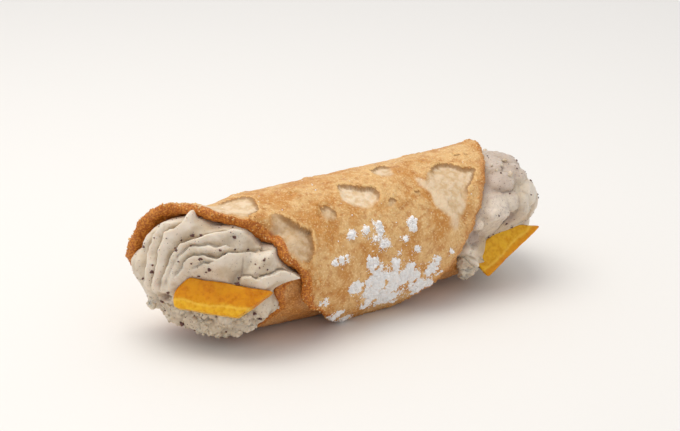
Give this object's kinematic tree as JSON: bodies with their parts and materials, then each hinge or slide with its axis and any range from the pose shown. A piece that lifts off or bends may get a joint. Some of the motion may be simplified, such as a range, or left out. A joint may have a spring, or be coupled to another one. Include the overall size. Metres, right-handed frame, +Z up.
{
  "type": "cannoli",
  "caption": "Fried pastry tube with a pointed overlapping flap and slanting mouths, filled with piped ricotta cream that domes out at the ends under strips of candied orange peel.",
  "frame": {"origin": "on the resting plane, under the middle of the shell, inside the flat spot that the piece lies on", "axes": "+X along the shell from the near mouth to the far one, -Y towards the lapped flap at the front, +Z up"},
  "size_m": [0.1346, 0.0432, 0.041],
  "materials": {
    "fried_dough": "dry, blistered fried dough, golden brown",
    "ricotta_cream": "moist off-white ricotta cream",
    "candied_peel": "glossy, sugared orange rind"
  },
  "bodies": {
    "root": {"pastry_shell": "fried_dough", "ricotta_filling": "ricotta_cream", "candied_peel_near": "candied_peel", "candied_peel_far": "candied_peel"}
  },
  "joints": []
}
